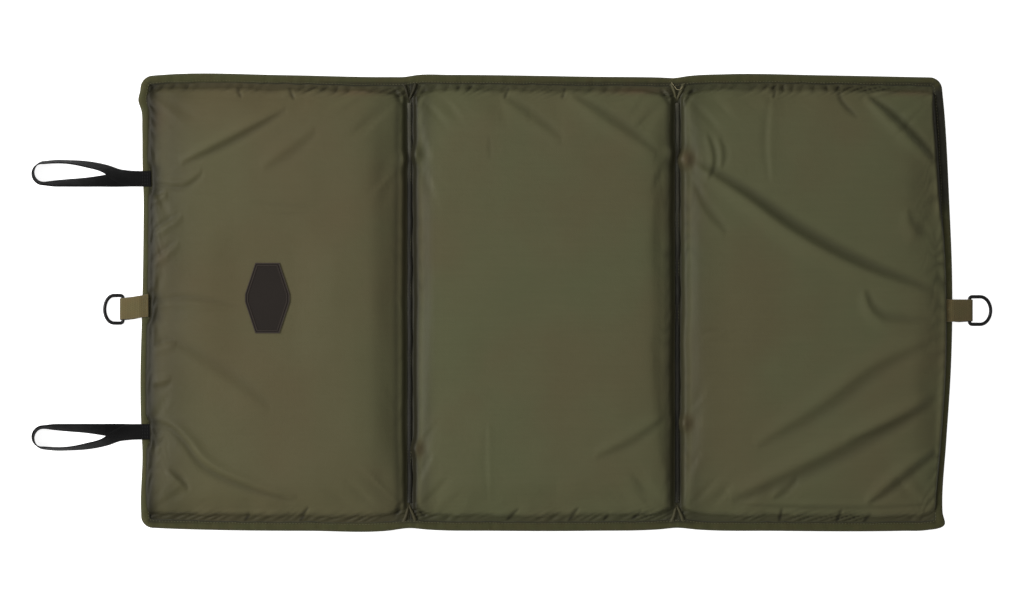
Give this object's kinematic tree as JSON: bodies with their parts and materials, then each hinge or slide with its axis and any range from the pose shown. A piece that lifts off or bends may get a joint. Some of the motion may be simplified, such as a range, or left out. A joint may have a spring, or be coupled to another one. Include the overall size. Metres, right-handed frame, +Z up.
{
  "type": "unhooking mat",
  "caption": "Padded folding mat that a landed fish is unhooked on, with foam pads in a coated nylon cover, sewn fold channels, D-ring tabs and elastic closing loops.",
  "frame": {"origin": "middle of the middle panel's underside, on the ground plane the mat lies on", "axes": "+X runs along the mat from the badge panel to the plain one, +Y to the rear long edge (top of the picture), +Z up"},
  "size_m": [1.2285, 0.583, 0.0262],
  "materials": {
    "nylon": "satin",
    "foam": "matte",
    "binding": "matte",
    "webbing": "matte",
    "elastic": "matte",
    "badge": "satin",
    "ring": "satin"
  },
  "bodies": {
    "middle": {"middle_top_cover": "nylon", "middle_bottom_cover": "nylon", "middle_foam": "foam", "middle_binding_rear": "binding", "middle_binding_front": "binding"},
    "left_web": {"left_fold_web": "nylon", "left_web_binding_rear": "binding", "left_web_binding_front": "binding"},
    "left_panel": {"left_top_cover": "nylon", "left_bottom_cover": "nylon", "left_foam": "foam", "left_binding": "binding", "badge_patch": "badge", "left_tab_root": "webbing", "rear_loop_root": "elastic", "front_loop_root": "elastic"},
    "left_tab": {"left_ring_tab": "webbing"},
    "left_ring": {"left_d_ring": "ring"},
    "rear_loop": {"rear_closing_loop": "elastic"},
    "front_loop": {"front_closing_loop": "elastic"},
    "right_web": {"right_fold_web": "nylon", "right_web_binding_rear": "binding", "right_web_binding_front": "binding"},
    "right_panel": {"right_top_cover": "nylon", "right_bottom_cover": "nylon", "right_foam": "foam", "right_binding": "binding", "right_tab_root": "webbing"},
    "right_tab": {"right_ring_tab": "webbing"},
    "right_ring": {"right_d_ring": "ring"}
  },
  "joints": [
    {"name": "left_inner_fold", "type": "hinge", "parent": "middle", "child": "left_web", "pos_m": [-0.1615, 0, 0.0095], "axis": [0, -1, 0], "range_deg": [-83, 88]},
    {"name": "left_outer_fold", "type": "hinge", "parent": "left_web", "child": "left_panel", "pos_m": [-0.1815, 0, 0.0095], "axis": [0, -1, 0], "range_deg": [-83, 88]},
    {"name": "right_inner_fold", "type": "hinge", "parent": "middle", "child": "right_web", "pos_m": [0.1615, 0, 0.0095], "axis": [0, -1, 0], "range_deg": [-88, 83]},
    {"name": "right_outer_fold", "type": "hinge", "parent": "right_web", "child": "right_panel", "pos_m": [0.1815, 0, 0.0095], "axis": [0, -1, 0], "range_deg": [-88, 83]},
    {"name": "left_tab_flex", "type": "hinge", "parent": "left_panel", "child": "left_tab", "pos_m": [-0.5172, -0.0065, 0.01285], "axis": [0, 1, 0], "range_deg": [-65, 110]},
    {"name": "left_ring_swing", "type": "hinge", "parent": "left_tab", "child": "left_ring", "pos_m": [-0.5392, -0.0065, 0.0041], "axis": [0, -1, 0], "range_deg": [-150, 150]},
    {"name": "right_tab_flex", "type": "hinge", "parent": "right_panel", "child": "right_tab", "pos_m": [0.52449, -0.01, 0.01285], "axis": [0, 1, 0], "range_deg": [-110, 65]},
    {"name": "right_ring_swing", "type": "hinge", "parent": "right_tab", "child": "right_ring", "pos_m": [0.54649, -0.01, 0.0041], "axis": [0, -1, 0], "range_deg": [-150, 150]},
    {"name": "rear_loop_flex", "type": "hinge", "parent": "left_panel", "child": "rear_loop", "pos_m": [-0.5174, 0.1587, 0.0131], "axis": [0, 1, 0], "range_deg": [-80, 110]},
    {"name": "front_loop_flex", "type": "hinge", "parent": "left_panel", "child": "front_loop", "pos_m": [-0.5174, -0.1652, 0.0131], "axis": [0, 1, 0], "range_deg": [-80, 110]}
  ],
  "couplings": [
    {"joint": "left_outer_fold", "follows": "left_inner_fold", "ratio": 1},
    {"joint": "right_outer_fold", "follows": "right_inner_fold", "ratio": 1}
  ]
}
